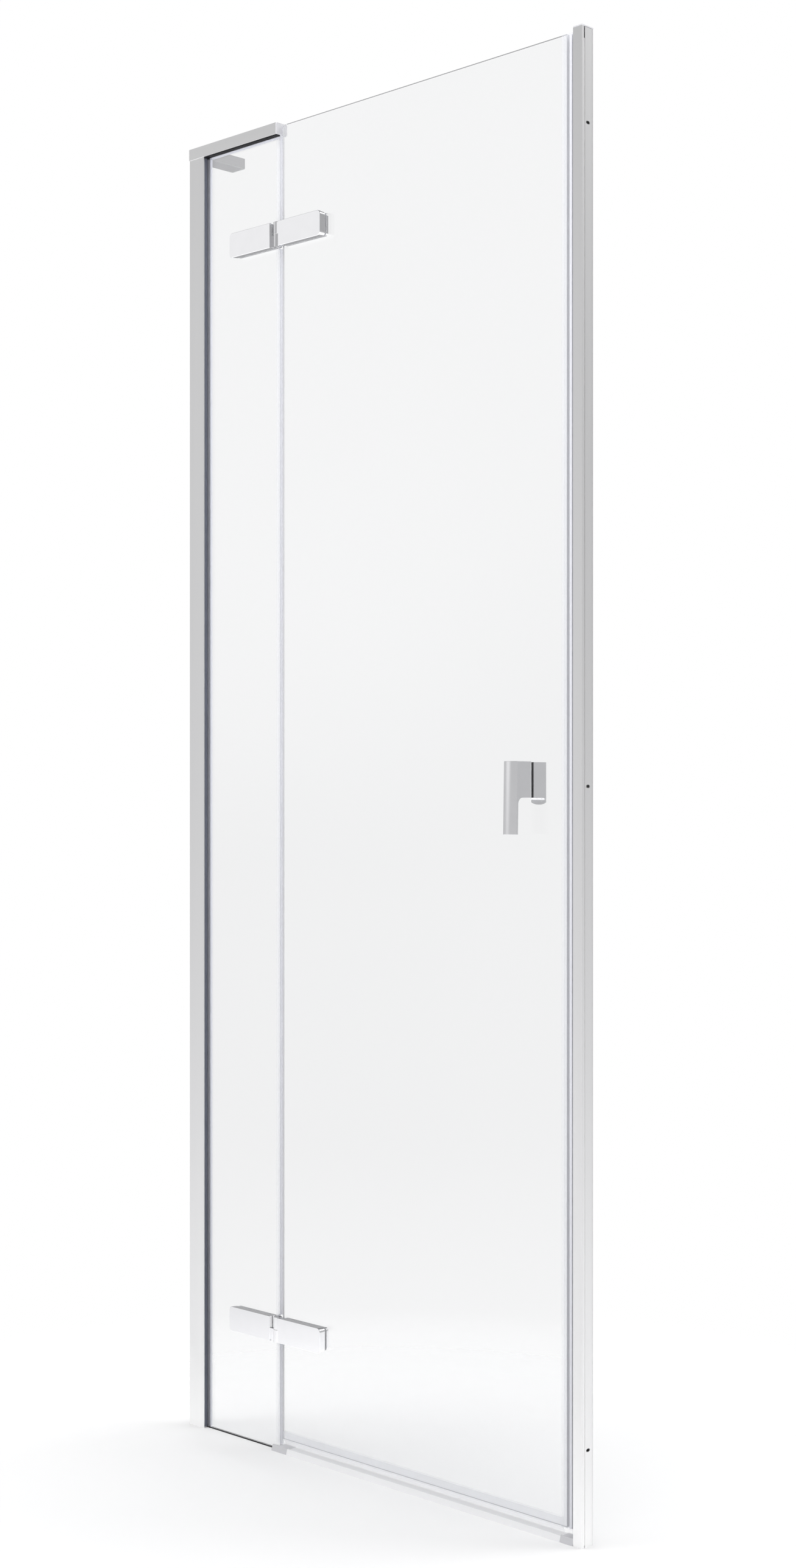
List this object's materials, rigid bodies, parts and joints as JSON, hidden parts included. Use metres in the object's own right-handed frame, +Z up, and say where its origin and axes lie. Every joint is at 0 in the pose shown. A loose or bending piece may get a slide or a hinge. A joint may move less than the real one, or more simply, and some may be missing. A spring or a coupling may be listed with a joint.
{
  "type": "pivot shower door",
  "caption": "Pivot shower door for a niche, with a fixed side pane, a glass door on glass-to-glass hinges, a through-glass handle, a low sill and a magnetic closing profile.",
  "frame": {"origin": "underside of the sill, midway between the two wall faces, in the middle of the glass thickness", "axes": "+X along the door from the left wall to the right wall, +Y into the shower, -Y to the room, +Z up"},
  "size_m": [0.78, 0.1135, 1.95],
  "materials": {
    "satin_aluminium": "satin silver anodised extrusion",
    "moulded_grey": "silver-grey moulded end piece",
    "dark_gasket": "dark grey glazing gasket",
    "grey_gasket": "light grey glazing gasket",
    "black_gasket": "black rubber",
    "glass": "clear toughened safety glass with polished edges",
    "clear_seal": "clear extruded PVC",
    "magnet": "plastic-bonded magnet strip",
    "die_cast": "die-cast zinc, unplated",
    "steel": "stainless steel",
    "chrome": "bright chrome plating",
    "hinge_pad": "grey rubber pad",
    "bush": "acetal bearing bush"
  },
  "bodies": {
    "frame": {"left_wall_channel": "satin_aluminium", "left_cover_profile": "satin_aluminium", "right_wall_channel": "satin_aluminium", "right_cover_profile": "satin_aluminium", "top_rail": "satin_aluminium", "wall_arm": "satin_aluminium", "sill_profile": "satin_aluminium", "top_rail_end_cap": "moulded_grey", "wall_arm_end_cap": "moulded_grey", "right_top_cap": "moulded_grey", "sill_left_cap": "moulded_grey", "sill_right_cap": "moulded_grey", "left_front_gasket": "dark_gasket", "left_rear_gasket": "grey_gasket", "top_rail_rear_gasket": "grey_gasket", "top_rail_gasket": "black_gasket", "foot_seal": "black_gasket", "fixed_glass": "glass", "gap_seal": "clear_seal", "magnet_receiver": "clear_seal", "receiver_magnet": "magnet", "corner_key": "die_cast", "left_cover_screws": "steel", "right_cover_screws": "steel", "corner_key_screws": "steel", "upper_hinge_fixed_screws": "steel", "upper_hinge_pin": "steel", "lower_hinge_fixed_screws": "steel", "lower_hinge_pin": "steel", "upper_hinge_fixed_body": "chrome", "upper_hinge_fixed_plate": "chrome", "lower_hinge_fixed_body": "chrome", "lower_hinge_fixed_plate": "chrome", "upper_hinge_fixed_pads": "hinge_pad", "lower_hinge_fixed_pads": "hinge_pad"},
    "door": {"door_glass": "glass", "drip_seal": "clear_seal", "magnet_seal": "clear_seal", "door_magnet": "magnet", "handle_outer": "chrome", "handle_inner": "chrome", "handle_outer_pad": "clear_seal", "handle_inner_pad": "black_gasket", "handle_studs": "steel", "upper_hinge_door_screws": "steel", "lower_hinge_door_screws": "steel", "upper_hinge_door_body": "chrome", "upper_hinge_door_plate": "chrome", "lower_hinge_door_body": "chrome", "lower_hinge_door_plate": "chrome", "upper_hinge_door_pads": "hinge_pad", "lower_hinge_door_pads": "hinge_pad", "upper_hinge_bush": "bush", "lower_hinge_bush": "bush"}
  },
  "joints": [
    {"name": "door_swing", "type": "hinge", "parent": "frame", "child": "door", "pos_m": [-0.192, -0.00825, 0.975], "axis": [0, 0, -1], "range_deg": [0, 110]}
  ]
}
